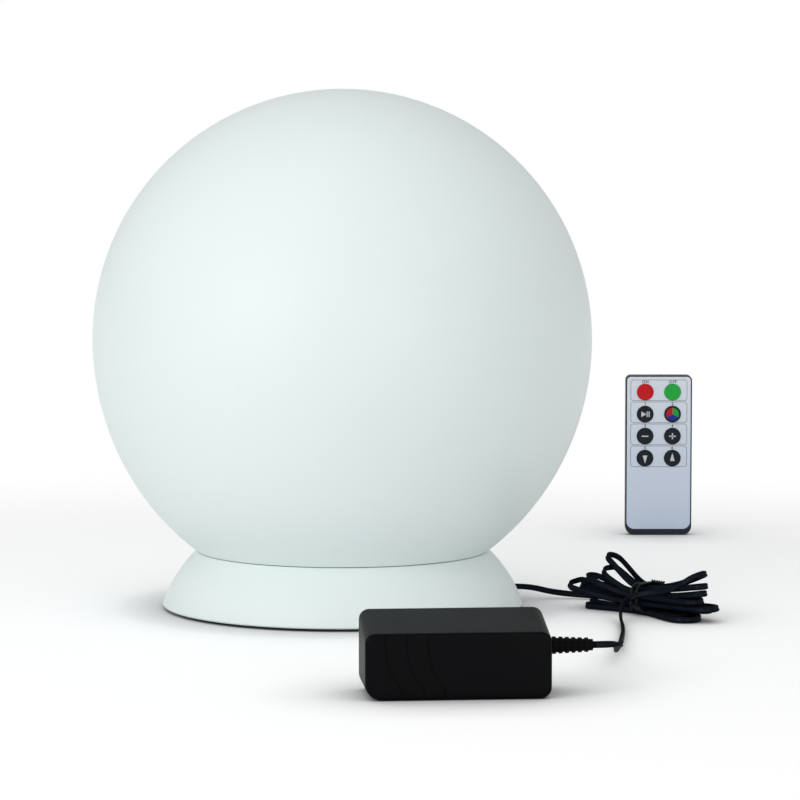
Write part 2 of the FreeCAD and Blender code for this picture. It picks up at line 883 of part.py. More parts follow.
def groove(number):
    """One curved finger groove down the front of the adapter."""
    start = groove_start + number * groove_pitch
    outline = [(0.0, adapter_front_height + 2), (0.6, 21.0), (3.8, 12.5), (6.9, 7.8), (8.2, -1.0)]
    half = groove_width / 2
    sides = []
    for shift in (-half, half):
        curve = Part.BSplineCurve()
        curve.interpolate([Vector(start + x + shift, -1, z) for x, z in outline])
        sides.append(curve.toShape())
    ends = [Part.LineSegment(sides[0].Vertexes[i].Point, sides[1].Vertexes[i].Point).toShape()
            for i in (0, 1)]
    face = Part.Face(Part.Wire(Part.__sortEdges__(sides + ends)))
    return face.extrude(Vector(0, 1 + groove_depth, 0))


def placed_adapter(shape):
    shape.rotate(Vector(), up, adapter_yaw)
    shape.translate(Vector(adapter_place[0], adapter_place[1], 0))
    return shape


def front_edge(edge):
    return edge.BoundBox.YMax < 0.01


def back_edge(edge):
    return edge.BoundBox.YMin > adapter_depth - 0.01


def adapter_shell():
    body = fillet(adapter_form(0), adapter_edge_round, front_edge)
    body = body.cut(adapter_form(adapter_wall))
    keep = block(-1, adapter_length + 1, -1, adapter_split, -1, 2 * adapter_front_height)
    body = body.common(keep)
    for number in range(groove_count):
        body = body.cut(groove(number))
    for x, z in adapter_screw_places():
        post = Part.makeCylinder(adapter_post_radius, adapter_split - adapter_wall / 2,
                                 Vector(x, adapter_wall / 2, z), Vector(0, 1, 0))
        hole = Part.makeCylinder(pilot_radius, adapter_split, Vector(x, adapter_wall + 2, z),
                                 Vector(0, 1, 0))
        body = body.fuse(post).cut(hole)
    return placed_adapter(body.removeSplitter())


def adapter_screw_places():
    return [(adapter_screw_inset_left, adapter_screw_height_left),
            (adapter_length - adapter_screw_inset_right, adapter_screw_height_right)]


def blade_places():
    middle = blade_offset
    return [(middle - blade_spacing / 2, blade_height), (middle + blade_spacing / 2, blade_height)]


def adapter_back():
    body = fillet(adapter_form(0), adapter_edge_round, back_edge).cut(adapter_form(adapter_wall))
    keep = block(-1, adapter_length + 1, adapter_split, adapter_depth + 1, -1,
                 2 * adapter_front_height)
    body = body.common(keep)
    for x, z in blade_places():
        slot = blade_block(x, z, fit_gap, adapter_depth - adapter_wall - 1)
        body = body.cut(slot)
    for x, z in adapter_screw_places():
        hole = Part.makeCylinder(screw_shank_radius + fit_gap, adapter_depth,
                                 Vector(x, adapter_split, z), Vector(0, 1, 0))
        head = Part.makeCylinder(screw_head_radius + fit_gap, adapter_depth,
                                 Vector(x, adapter_depth - screw_head_height, z), Vector(0, 1, 0))
        body = body.cut(hole).cut(head)
    return placed_adapter(body)


def blade_block(x, z, play, start):
    half_t, half_w = blade_thickness / 2 + play, blade_width / 2 + play
    return block(x - half_t, x + half_t, start, adapter_depth + blade_length, z - half_w, z + half_w)


def adapter_blades():
    start = adapter_depth - adapter_wall - blade_tail
    half_w, half_h = blade_stop_width / 2, blade_stop_height / 2
    blades = []
    for x, z in blade_places():
        blade = blade_block(x, z, 0, start)
        stop = block(x - half_w, x + half_w, start, adapter_depth - adapter_wall,
                     z - half_h, z + half_h)
        blades.append(placed_adapter(blade.fuse(stop)))
    return blades


def adapter_screws():
    screws = []
    for x, z in adapter_screw_places():
        body = screw(0, 0, 0, adapter_screw_length)
        body.rotate(Vector(), Vector(1, 0, 0), -90)
        body.translate(Vector(x, adapter_depth - screw_head_height, z))
        screws.append(placed_adapter(body))
    return screws


def adapter_boot():
    """The ribbed strain relief, along the adapter's length."""
    start, radius = adapter_length - adapter_wall, boot_start_radius
    body = Part.makeCone(boot_start_radius, boot_end_radius, boot_length,
                         Vector(adapter_length, boot_depth, boot_height), Vector(1, 0, 0))
    neck = Part.makeCylinder(radius - 1, adapter_wall, Vector(start, boot_depth, boot_height),
                             Vector(1, 0, 0))
    body = body.fuse(neck)
    pitch = boot_length / (boot_rib_count + 1)
    for i in range(boot_rib_count):
        x = adapter_length + pitch * (i + 1)
        here = radius + (boot_end_radius - radius) * (i + 1) / (boot_rib_count + 1)
        rib = Part.makeCylinder(here + boot_rib_height, pitch * 0.5,
                                Vector(x - pitch / 4, boot_depth, boot_height), Vector(1, 0, 0))
        body = body.fuse(rib)
    return placed_adapter(body)


def boot_hole():
    hole = Part.makeCylinder(boot_start_radius - 1 + fit_gap, 3 * adapter_wall,
                             Vector(adapter_length - 2 * adapter_wall, boot_depth, boot_height),
                             Vector(1, 0, 0))
    return placed_adapter(hole)


def adapter_inside():
    """Board, transformer and capacitors; the board stands on the housing's low wall."""
    low, back = adapter_wall, adapter_board_depth + board_thickness
    board = block(adapter_board_inset, adapter_length - adapter_board_inset, adapter_board_depth, back,
                  low, adapter_front_height - 2 * adapter_wall)
    left = (adapter_length - transformer_length) / 2
    right = left + transformer_length
    base = low + transformer_lift
    transformer = block(left, right, back, back + transformer_depth, base, base + transformer_height)
    capacitors = []
    for x in (left - adapter_capacitor_gap, right + adapter_capacitor_gap):
        capacitor = Part.makeCylinder(adapter_capacitor_radius, adapter_capacitor_length,
                                      Vector(x, back, low + adapter_capacitor_height),
                                      Vector(0, 1, 0))
        capacitors.append(placed_adapter(capacitor))
    return placed_adapter(board), placed_adapter(transformer), capacitors


# ---- remote control ----

board_front = face_thickness + seat_gap + key_flange_thickness + key_travel + seat_gap + contact_thickness
tray_front = board_front + remote_board_thickness + seat_gap


def placed_remote(shape):
    shape.translate(Vector(remote_place[0], remote_place[1], 0))
    return shape


def rounded_plate(half_width, low, high, front, back, low_round, top_round):
    """An upright plate with rounded corners, in the remote's own frame."""
    plate = block(-half_width, half_width, front, back, low, high)
    for at_low, radius in ((True, low_round), (False, top_round)):

        def wanted(edge):
            box = edge.BoundBox
            across = box.XLength < 0.01 and box.ZLength < 0.01
            return across and (box.ZMax < (low + high) / 2) == at_low

        plate = fillet(plate, radius, wanted)
    return plate


def key_places():
    places = []
    for row in range(4):
        for side in (-1, 1):
            places.append((side * key_spacing / 2, remote_height - key_inset - row * key_pitch))
    return places


def along_y(radius, start, end, x, z):
    return Part.makeCylinder(radius, end - start, Vector(x, start, z), Vector(0, 1, 0))


def remote_case():
    half = remote_width / 2
    body = rounded_plate(half, 0, remote_height, 0, remote_thickness, remote_round_low,
                         remote_round_top)
    seat = rounded_plate(half - remote_rim, face_low, remote_height - remote_rim, -1,
                         face_thickness, remote_round_low - remote_rim, remote_round_top - remote_rim)
    inner = block(-half + remote_wall, half - remote_wall, 0, remote_thickness - remote_back_wall,
                  face_low + remote_wall, remote_height - 2 * remote_wall)
    body = body.cut(seat).cut(inner)
    tray_half = tray_width / 2 + slide_gap
    tray_back = tray_front + tray_thickness + slide_gap
    bay = block(-tray_half, tray_half, tray_front - slide_gap, tray_back, -1, face_low + 2 * remote_wall)
    body = body.cut(bay)
    back_face = remote_thickness - remote_back_wall
    for side in (-1, 1):
        low_x, high_x = sorted((side * tray_half, side * (tray_half + tray_rail)))
        body = body.fuse(block(low_x, high_x, tray_front - slide_gap, back_face,
                               face_low, tray_length + tray_rail_past))
        post_x = sorted((side * (half - remote_wall), side * (half - remote_wall - board_post_width)))
        body = body.fuse(block(post_x[0], post_x[1], board_front + remote_board_thickness, back_face,
                               face_low + remote_wall, remote_height - 2 * remote_wall))
    top_hole = Part.makeCylinder(emitter_radius + fit_gap, 2 * emitter_length,
                                 Vector(0, emitter_y(), remote_height - emitter_length), up)
    return placed_remote(body.cut(top_hole).removeSplitter())


def emitter_y():
    return board_front + remote_board_thickness + emitter_radius + fit_gap


def remote_face():
    half = remote_width / 2 - remote_rim - fit_gap
    plate = rounded_plate(half, face_low + fit_gap, remote_height - remote_rim - fit_gap, 0,
                          face_thickness, remote_round_low - remote_rim - fit_gap,
                          remote_round_top - remote_rim - fit_gap)
    for x, z in key_places():
        plate = plate.cut(along_y(key_radius + slide_gap, -1, face_thickness + 1, x, z))
    return placed_remote(plate)


def remote_key(x, z):
    behind = face_thickness + seat_gap
    cap = along_y(key_radius, -key_proud, behind, x, z)
    cap = fillet(cap, key_proud / 2, lambda edge: edge.BoundBox.YMax < 0)
    flange = along_y(key_radius + key_flange, behind, behind + key_flange_thickness, x, z)
    return placed_remote(cap.fuse(flange).removeSplitter())


def remote_board():
    half = remote_width / 2 - remote_wall - fit_gap
    low, high = face_low + remote_wall + fit_gap, remote_height - 2 * remote_wall - fit_gap
    board = block(-half, half, board_front, board_front + remote_board_thickness, low, high)
    return placed_remote(board)


def remote_contacts():
    return [placed_remote(along_y(contact_radius, board_front - contact_thickness, board_front, x, z))
            for x, z in key_places()]


def ir_emitter():
    base = remote_height - emitter_length
    body = Part.makeCylinder(emitter_radius, emitter_length - emitter_radius,
                             Vector(0, emitter_y(), base), up)
    dome = Part.makeSphere(emitter_radius, Vector(0, emitter_y(), remote_height - emitter_radius))
    return placed_remote(body.fuse(dome).removeSplitter())


def battery_tray():
    half = tray_width / 2
    back = tray_front + tray_thickness
    tray = block(-half, half, tray_front, back, seat_gap, tray_length)
    pocket = along_y(cell_radius + slide_gap, tray_front - 1, tray_front + cell_thickness + cell_play, 0,
                     cell_height)
    grip = Part.makeCylinder(grip_radius, 2 * grip_radius,
                             Vector(-grip_radius, back + grip_radius - grip_depth, 0), Vector(1, 0, 0))
    return placed_remote(tray.cut(pocket).cut(grip))


def coin_cell():
    start = tray_front + cell_play
    return placed_remote(along_y(cell_radius, start, start + cell_thickness, 0, cell_height))


def build():
    save("foot_pad", foot_pad())
    save("base_shell", base_shell())
    save("bottom_cover", bottom_cover())
    save("cover_seal", cover_seal())
    save("cover_screws", *cover_screws())
    save("cord_grommet", cord_grommet())
    save("inner_lead", inner_lead())
    save("controller_board", controller_board())
    save("board_parts", *board_parts())
    save("terminal_block", terminal_block())
    save("ir_receiver", ir_receiver())
    save("board_screws", *board_screws())
    save("led_heatsink", led_heatsink())
    save("led_board", led_board())
    save("led_chips", *led_chips())
    save("led_lens", led_lens())
    save("module_screws", *module_screws())
    save("bayonet_collar", bayonet_collar())
    save("collar_screws", *collar_screws())
    save("neck_gasket", neck_gasket())
    save("globe_shell", globe_shell())
    save("neck_ring", neck_ring())
    save("ring_screws", *ring_screws())

    save("base_lead", base_lead())
    save("cord_hank", cord_hank())
    save("hank_tie", hank_tie())
    save("adapter_lead", adapter_lead())

    save("adapter_shell", adapter_shell().cut(boot_hole()))
    save("adapter_back", adapter_back())
    save("adapter_boot", adapter_boot())
    save("adapter_blades", *adapter_blades())
    save("adapter_screws", *adapter_screws())
    board, transformer, capacitors = adapter_inside()
    save("adapter_board", board)
    save("adapter_transformer", transformer)
    save("adapter_capacitors", *capacitors)

    save("remote_case", remote_case())
    save("remote_face", remote_face())
    save("remote_board", remote_board())
    save("remote_contacts", *remote_contacts())
    save("ir_emitter", ir_emitter())
    save("battery_tray", battery_tray())
    save("coin_cell", coin_cell())
    names = ["on_key", "off_key", "play_key", "colour_key",
             "minus_key", "plus_key", "slow_key", "quick_key"]
    for name, (x, z) in zip(names, key_places()):
        save(name, remote_key(x, z))


build()
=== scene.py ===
import json
import math

import bpy
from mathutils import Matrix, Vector, noise


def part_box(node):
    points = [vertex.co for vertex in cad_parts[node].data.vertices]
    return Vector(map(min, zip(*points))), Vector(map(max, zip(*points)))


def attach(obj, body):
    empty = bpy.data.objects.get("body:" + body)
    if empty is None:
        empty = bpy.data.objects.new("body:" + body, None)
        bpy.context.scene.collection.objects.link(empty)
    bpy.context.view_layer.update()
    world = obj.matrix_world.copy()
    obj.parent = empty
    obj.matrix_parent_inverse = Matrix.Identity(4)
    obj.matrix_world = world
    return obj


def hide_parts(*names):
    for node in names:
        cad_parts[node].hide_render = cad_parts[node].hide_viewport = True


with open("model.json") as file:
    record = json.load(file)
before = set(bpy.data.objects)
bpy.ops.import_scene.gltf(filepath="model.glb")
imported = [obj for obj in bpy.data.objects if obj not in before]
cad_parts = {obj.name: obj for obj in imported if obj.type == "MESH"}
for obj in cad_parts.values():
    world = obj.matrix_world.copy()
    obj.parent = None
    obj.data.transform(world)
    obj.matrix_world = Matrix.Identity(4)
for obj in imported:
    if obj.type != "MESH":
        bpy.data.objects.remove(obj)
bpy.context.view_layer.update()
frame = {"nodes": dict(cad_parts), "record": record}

mm = 0.001
nodes = frame["nodes"]
bpy.ops.object.select_all(action="DESELECT")


class Link:  # one shader value, so that sums on it read as plain Python
    def __init__(self, tree, socket):
        self.tree = tree
        self.socket = socket

    def maths(self, operation, first, second=None):
        node = self.tree.nodes.new("ShaderNodeMath")
        node.operation = operation
        for slot, value in zip(node.inputs, (first, second)):
            if isinstance(value, Link):
                self.tree.links.new(value.socket, slot)
            elif value is not None:
                slot.default_value = value
        return Link(self.tree, node.outputs[0])

    def __add__(self, other):
        return self.maths("ADD", self, other)

    def __radd__(self, other):
        return self.maths("ADD", other, self)

    def __sub__(self, other):
        return self.maths("SUBTRACT", self, other)

    def __rsub__(self, other):
        return self.maths("SUBTRACT", other, self)

    def __mul__(self, other):
        return self.maths("MULTIPLY", self, other)

    def __rmul__(self, other):
        return self.maths("MULTIPLY", other, self)

    def __gt__(self, other):
        return self.maths("GREATER_THAN", self, other)

    def __lt__(self, other):
        return self.maths("LESS_THAN", self, other)


mixColor = {"first": 6, "second": 7, "result": 2}  # where a Mix node keeps its colours


class Paint:  # a material under construction
    def __init__(self, name, color, roughness, **fixed):
        self.material = bpy.data.materials.new(name)
        self.material.use_nodes = True
        self.tree = self.material.node_tree
        self.shader = self.tree.nodes["Principled BSDF"]
        self.shader.inputs["Base Color"].default_value = (*color, 1)
        self.shader.inputs["Roughness"].default_value = roughness
        for label, value in fixed.items():
            self.shader.inputs[label.replace("_", " ")].default_value = value

    def node(self, kind, settings, sockets, output=0):
        made = self.tree.nodes.new("ShaderNode" + kind)
        for label, value in settings.items():
            setattr(made, label, value)
        for label, value in sockets.items():
            if isinstance(value, Link):
                self.tree.links.new(value.socket, made.inputs[label])
            else:
                made.inputs[label].default_value = value
        return Link(self.tree, made.outputs[output])

    def feed(self, label, link):
        self.tree.links.new(link.socket, self.shader.inputs[label])

    def place(self):
        return self.node("TexCoord", {}, {}, "Object")

    def axis(self, letter):
        return self.node("SeparateXYZ", {}, {"Vector": self.place()}, letter)

    def noise(self, scale, detail=3.0):
        sockets = {"Vector": self.place(), "Scale": scale, "Detail": detail}
        return self.node("TexNoise", {}, sockets, "Fac")

    def blend(self, mask, dark, light):
        ends = [c if isinstance(c, Link) else (*c, 1) for c in (dark, light)]
        sockets = {"Factor": mask, mixColor["first"]: ends[0], mixColor["second"]: ends[1]}
        return self.node("Mix", {"data_type": "RGBA"}, sockets, mixColor["result"])

    def bump(self, height, strength, distance):
        sockets = {"Height": height, "Strength": strength, "Distance": distance}
        self.feed("Normal", self.node("Bump", {}, sockets, "Normal"))


def toned(color, share):
    return [c * share for c in color]


def opalPlastic(name, color):  # moulded translucent plastic with a faint orange-peel skin
    paint = Paint(name, color, 0.42, Specular_IOR_Level=0.35)
    paint.feed("Base Color", paint.blend(paint.noise(scale=9.0), toned(color, 0.985), color))
    paint.feed("Roughness", 0.38 + 0.1 * paint.noise(scale=60.0))
    paint.bump(paint.noise(scale=420.0), strength=0.05, distance=0.2 * mm)
    return paint.material


def darkPlastic(name, color, roughness, grain, depth, gloss=0.5):  # spark-eroded mould texture
    paint = Paint(name, color, roughness, Specular_IOR_Level=gloss)
    speck = paint.noise(scale=grain, detail=2.0)
    paint.feed("Roughness", roughness - 0.06 + 0.12 * paint.noise(scale=35.0))
    paint.feed("Base Color", paint.blend(speck, toned(color, 0.8), toned(color, 1.25)))
    paint.bump(speck, strength=0.35, distance=depth)
    return paint.material


def rubberSkin(name, color, roughness, gloss=0.5):
    paint = Paint(name, color, roughness, Specular_IOR_Level=gloss)
    cloudy = paint.noise(scale=160.0, detail=2.0)
    paint.feed("Roughness", roughness - 0.05 + 0.1 * cloudy)
    paint.feed("Base Color", paint.blend(cloudy, toned(color, 0.85), toned(color, 1.2)))
    paint.bump(cloudy, strength=0.12, distance=0.1 * mm)
    return paint.material


def leadVinyl():  # near-black vinyl, with a painted blue highlight where the two cores meet
    black, paintedSheenBlue = (0.0025, 0.0026, 0.0035), (0.006, 0.012, 0.025)
    paint = Paint("leadVinyl", black, 0.4, Specular_IOR_Level=0.0, Coat_Roughness=0.25)
    cloudy = paint.noise(scale=140.0, detail=2.0)
    grooveSheen = paint.node("Attribute", {"attribute_name": "grooveSheen"}, {}, "Fac")
    paintedSheenMask = grooveSheen * grooveSheen * (0.25 + 0.75 * paint.noise(scale=45.0))
    # painted highlight: a cold blue base colour along the groove stands in for its reflection
    paint.feed("Base Color", paint.blend(paintedSheenMask, black, paintedSheenBlue))
    paint.feed("Coat Weight", 0.06 + 0.1 * cloudy)
    paint.bump(cloudy, strength=0.1, distance=0.1 * mm)
    return paint.material


def adapterPlastic():  # black and finely textured, with a thin even gloss that shows at low angles
    paint = Paint("adapterPlastic", (0.0018, 0.0018, 0.0024), 0.5, Specular_IOR_Level=0.0,
                  Coat_Roughness=0.3, Coat_IOR=1.22)
    speck = paint.noise(scale=1500.0, detail=2.0)
    paint.feed("Base Color", paint.blend(speck, (0.0014, 0.0014, 0.002), (0.0024, 0.0024, 0.0034)))
    paint.feed("Coat Weight", 0.42 + 0.1 * paint.noise(scale=35.0))
    paint.bump(speck, strength=0.35, distance=0.06 * mm)
    return paint.material


def machinedMetal(name, color, roughness):
    paint = Paint(name, color, roughness, Metallic=1.0)
    streak = paint.noise(scale=220.0, detail=5.0)
    paint.feed("Roughness", roughness - 0.06 + 0.14 * streak)
    paint.feed("Base Color", paint.blend(streak, toned(color, 0.88), color))
    paint.bump(streak, strength=0.08, distance=0.05 * mm)
    return paint.material


def circuitBoard():  # green solder mask with lighter tracks
    paint = Paint("circuitBoard", (0.02, 0.16, 0.06), 0.35)
    sockets = {"Vector": paint.place(), "Scale": 90.0, "Mortar Size": 0.03}
    tracks = paint.node("TexBrick", {}, sockets, "Fac")
    paint.feed("Base Color", paint.blend(tracks, (0.02, 0.14, 0.055), (0.05, 0.26, 0.1)))
    paint.bump(tracks, strength=0.2, distance=0.05 * mm)
    return paint.material


def silverFilm():  # the remote's printed front, with painted shade: a little darker and bluer towards its foot
    shadedFootColor, topColor = (0.62, 0.71, 0.86), (0.80, 0.85, 0.93)
    paint = Paint("silverFilm", topColor, 0.36, Specular_IOR_Level=0.4)
    low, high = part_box("remote_face")
    height = (paint.axis("Z") - low[2]) * (1 / (high[2] - low[2]))
    # painted shade: the film's colour darkens and turns bluer from top to foot
    paint.feed("Base Color", paint.blend(height, shadedFootColor, topColor))
    fleck = paint.noise(scale=900.0, detail=1.0)
    paint.feed("Roughness", 0.3 + 0.14 * fleck)
    paint.bump(fleck, strength=0.04, distance=0.03 * mm)
    return paint.material


keyDisc = {
    "radius": 4.4 * mm,
    "rim": (0.010, 0.015, 0.020),
    "red": (0.52, 0.012, 0.02),
    "green": (0.02, 0.36, 0.06),
    "blue": (0.012, 0.03, 0.30),
    "redFoot": math.radians(-150),  # the three lines between the sectors
    "greenFoot": math.radians(-30),
    "top": math.radians(90),
}


def sectorDisc():  # red, green and blue sectors inside the key's dark rim
    paint = Paint("sectorDisc", keyDisc["rim"], 0.36, Specular_IOR_Level=0.15)
    low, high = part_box("colour_key")
    across = paint.axis("X") - (low[0] + high[0]) / 2
    height = paint.axis("Z") - (low[2] + high[2]) / 2
    reach = across.maths("SQRT", across * across + height * height)
    angle = paint.node("Math", {"operation": "ARCTAN2"}, {0: height, 1: across})
    rightSide = (angle > keyDisc["greenFoot"]) * (angle < keyDisc["top"])
    leftSide = (angle > keyDisc["top"]) + (angle < keyDisc["redFoot"])
    sectors = paint.blend(rightSide, keyDisc["blue"], keyDisc["green"])
    sectors = paint.blend(leftSide, sectors, keyDisc["red"])
    paint.feed("Base Color", paint.blend(reach < keyDisc["radius"], keyDisc["rim"], sectors))
    paint.feed("Roughness", 0.31 + 0.1 * paint.noise(scale=160.0, detail=2.0))
    return paint.material


finishes = {
    "globe": opalPlastic("opalGlobe", (0.80, 0.885, 0.875)),
    "base": opalPlastic("opalBase", (0.83, 0.915, 0.905)),
    "foam": rubberSkin("padFoam", (0.03, 0.03, 0.03), 0.8),
    "cover": opalPlastic("coverPlastic", (0.62, 0.66, 0.66)),
    "seal": rubberSkin("sealRubber", (0.03, 0.03, 0.03), 0.5),
    "screw": machinedMetal("zincScrew", (0.55, 0.55, 0.57), 0.35),
    "black_rubber": rubberSkin("blackRubber", (0.0022, 0.0022, 0.0026), 0.5, gloss=0.05),
    "board": circuitBoard(),
    "chip": darkPlastic("chipEpoxy", (0.015, 0.015, 0.016), 0.45, grain=900.0, depth=0.03 * mm),
    "terminal": darkPlastic("terminalPlastic", (0.03, 0.2, 0.08), 0.4, grain=500.0, depth=0.03 * mm),
    "aluminium": machinedMetal("sinkAluminium", (0.72, 0.73, 0.75), 0.32),
    "white_board": opalPlastic("whiteBoard", (0.8, 0.8, 0.78)),
    "chip_lens": rubberSkin("chipLens", (0.85, 0.68, 0.2), 0.2),
    "lens": opalPlastic("frostedLens", (0.85, 0.87, 0.87)),
    "collar": opalPlastic("collarPlastic", (0.7, 0.73, 0.73)),
    "gasket": rubberSkin("gasketSilicone", (0.16, 0.17, 0.18), 0.5),
    "lead": leadVinyl(),
    "tie": rubberSkin("tieSkin", (0.003, 0.003, 0.0035), 0.4, gloss=0.2),
    "adapter": adapterPlastic(),
    "blade": machinedMetal("bladePlate", (0.72, 0.7, 0.66), 0.25),
    "transformer": rubberSkin("windingTape", (0.6, 0.42, 0.04), 0.4),
    "capacitor": rubberSkin("capacitorSleeve", (0.02, 0.03, 0.12), 0.3),
    "remote_case": darkPlastic("remoteCase", (0.014, 0.019, 0.028), 0.38, grain=1800.0,
                               depth=0.04 * mm, gloss=0.25),
    "remote_face": silverFilm(),
    "contact": machinedMetal("contactDome", (0.65, 0.65, 0.66), 0.25),
    "emitter": rubberSkin("emitterResin", (0.05, 0.02, 0.06), 0.12),
    "cell": machinedMetal("cellSteel", (0.66, 0.66, 0.67), 0.28),
    "red_key": rubberSkin("redKey", (0.62, 0.009, 0.013), 0.4, gloss=0.15),
    "green_key": rubberSkin("greenKey", (0.018, 0.44, 0.06), 0.4, gloss=0.15),
    "dark_key": rubberSkin("darkKey", (0.010, 0.015, 0.020), 0.4, gloss=0.15),
    "colour_disc": sectorDisc(),
}
print("finishes made:", len(finishes))


for subpart in frame["record"]["subparts"]:
    mesh = nodes[subpart["node"]].data
    mesh.materials.clear()
    mesh.materials.append(finishes[subpart["material_slot"]])
print("carried-over pieces dressed:", len(nodes))


lead = {  # one flat twin cord from the lamp, through the hank, to the adapter
    "width": 3.7 * mm,
    "thickness": 1.9 * mm,
    "round": 2.8 * mm,  # across a round lead of the same section
    "floor": 1.9 * mm,  # the height of its middle where it lies on the floor
    "sides": 7,  # points round each core
    "coreTurn": 130,  # degrees of a core on either side of its outermost point
    "onEdge": 78.0,  # degrees from lying flat
    "wander": 0.5,  # how strongly it rolls from that, in radians
    "wanderScale": 22,  # how quickly the roll changes along it
    "wanderStart": (3.1, 0.7),
    "twistLength": 0.026,  # the half twist just before the adapter's boot
    "twistEnd": 0.004,
    "splineSteps": 6,
    "splineOrder": 3,
}
floorZ = lead["floor"] / mm
hank = {  # u runs along it and v across it, from its waist, in millimetres
    "centre": (181.0, -29.5),
    "angle": math.radians(-45.0),
    "bow": 0.0025,
    "waistInner": 2.0,
    "waistStep": 4.8,
    "layerStep": 4.3,
    "slots": [(0, 1), (0, 0), (1, 0), (1, 1), (2, 1), (2, 0), (3, 0), (3, 1)],  # layer and nest
    # each loop's reach, place across, lift and half width
    "right": [(49, -5, 0, 10.4), (36, -4, 0, 5), (53, 3.5, 0.5, 5), (58, 3.5, 2, 8.5),
              (49, -1.5, 1.5, 7.3), (54, -2, 7, 5), (52, 0.5, 6.5, 5), (46, 4, 13, 7.5)],
    "left": [(39, -3.5, 0, 5), (38, 0, 2.5, 5), (49, 5, 6.5, 5), (49, -5.5, 6.5, 5),
             (37, -5.5, 9.5, 5), (30, 0.5, 11.5, 5), (32, 6, 17, 5)],
    "lobeSlope": 1.4,
    "lobeDrop": 1.2,
    "start": ((-38.0, 24.0), (1.0, -0.42, 0.0)),  # place and way
    "end": ((22.0, -12.0), 0.5, (-1.0, -0.35, -0.1)),  # place, lift and way
    "pointsPerQuarter": 4,
}


def hankPlace(u, v, z):
    bent = v - hank["bow"] * u * u
    c, s = math.cos(hank["angle"]), math.sin(hank["angle"])
    x, y = hank["centre"]
    return Vector((x + u * c - bent * s, y + u * s + bent * c, z)) * mm


def hankWay(u, way):
    across = way[1] - 2 * hank["bow"] * u * way[0]
    c, s = math.cos(hank["angle"]), math.sin(hank["angle"])
    return Vector((way[0] * c - across * s, way[0] * s + across * c, way[2])).normalized()


def slotPlace(slot, side):
    layer, nest = slot
    across = side * (hank["waistInner"] + nest * hank["waistStep"])
    return across, floorZ + layer * hank["layerStep"]


def lobeKnots(side, lobe, low, high):  # a loop's way in, its tip and its way out
    reach, across, lift, halfWidth = lobe
    slope = hank["lobeSlope"] * lift / reach
    rise = lift * (1 - hank["lobeDrop"] * halfWidth / reach)
    neck, tip = side * (reach - halfWidth), side * reach
    wayIn = (hankPlace(neck, across + side * halfWidth, low + rise), hankWay(neck, (side, 0, slope)))
    turn = (hankPlace(tip, across, (low + high) / 2 + lift), hankWay(tip, (0, -side, 0)))
    wayOut = (hankPlace(neck, across - side * halfWidth, high + rise),
              hankWay(neck, (-side, 0, -slope)))
    return [wayIn, turn, wayOut]


def hankKnots():
    (u, v), way = hank["start"]
    knots = [(hankPlace(u, v, floorZ), hankWay(u, way))]
    for i, slot in enumerate(hank["slots"]):
        vIn, zIn = slotPlace(slot, 1)
        vOut, zOut = slotPlace(slot, -1)
        knots.append((hankPlace(0, vIn, zIn), hankWay(0, (1, 0, 0))))
        knots += lobeKnots(1, hank["right"][i], zIn, zOut)
        if i == len(hank["slots"]) - 1:
            (u, v), lift, way = hank["end"]
            knots[-1] = (hankPlace(u, v, zOut + lift), hankWay(u, way))
            break
        knots.append((hankPlace(0, vOut, zOut), hankWay(0, (-1, 0, 0))))
        knots += lobeKnots(-1, hank["left"][i], zOut, slotPlace(hank["slots"][i + 1], 1)[1])
    return knots


def quarterTurn(start, wayIn, end, wayOut):  # points of a smooth bend between two knots
    span, ways = end - start, wayIn + wayOut
    spread = 2 * (1 - wayIn.dot(wayOut))
    along = span.dot(ways)
    if spread < 1e-6:
        reach = span.dot(span) / (2 * along)
    else:
        reach = (math.sqrt(along * along + spread * span.dot(span)) - along) / spread
    near, far = start + wayIn * reach * 4 / 3, end - wayOut * reach * 4 / 3
    count = hank["pointsPerQuarter"]
    points = []
    for i in range(1, count + 1):
        t = i / count
        points.append(start * (1 - t) ** 3 + near * 3 * t * (1 - t) ** 2
                      + far * 3 * t * t * (1 - t) + end * t ** 3)
    return points


adapter = {  # its corner on the floor and its turn, and where the lead enters it
    "corner": (16.5, -356.0),
    "turn": math.radians(5.0),
    "length": 98,
    "boot": 24,
    "pastBoot": 9,
    "leadAcross": 22,
    "leadHeight": 25,
}
leadRoute = {  # from the base's wall to the hank, and from the hank to the adapter
    "exitAngle": math.radians(15.0),
    "exitReach": 106.85,
    "exitHeight": 8.0,
    "straight": 10,
    "dip": (130.0, 35.0, 3.0),
    "beforeHank": 18.8,
    "pastHank": 7.8,
    "toAdapter": [
        (173.5, -48.4, 12.6), (167.5, -52.0, 10.2), (164.8, -60.5, 6.2), (164.2, -73.5, 2.8),
        (164.4, -94.0, floorZ), (163.0, -124.0, floorZ), (160.5, -152.0, floorZ + 0.4),
        (157.5, -182.0, 3.2), (154.5, -214.0, 6.0), (152.0, -243.0, 10.2), (151.3, -266.0, 14.6),
        (152.0, -286.0, 19.0), (152.5, -302.0, 22.4), (151.8, -313.5, 24.3)],
}


def leadAtAdapter(along):
    x, y = adapter["corner"]
    c, s = math.cos(adapter["turn"]), math.sin(adapter["turn"])
    across = adapter["leadAcross"]
    return Vector((x + along * c - across * s, y + along * s + across * c, adapter["leadHeight"])) * mm


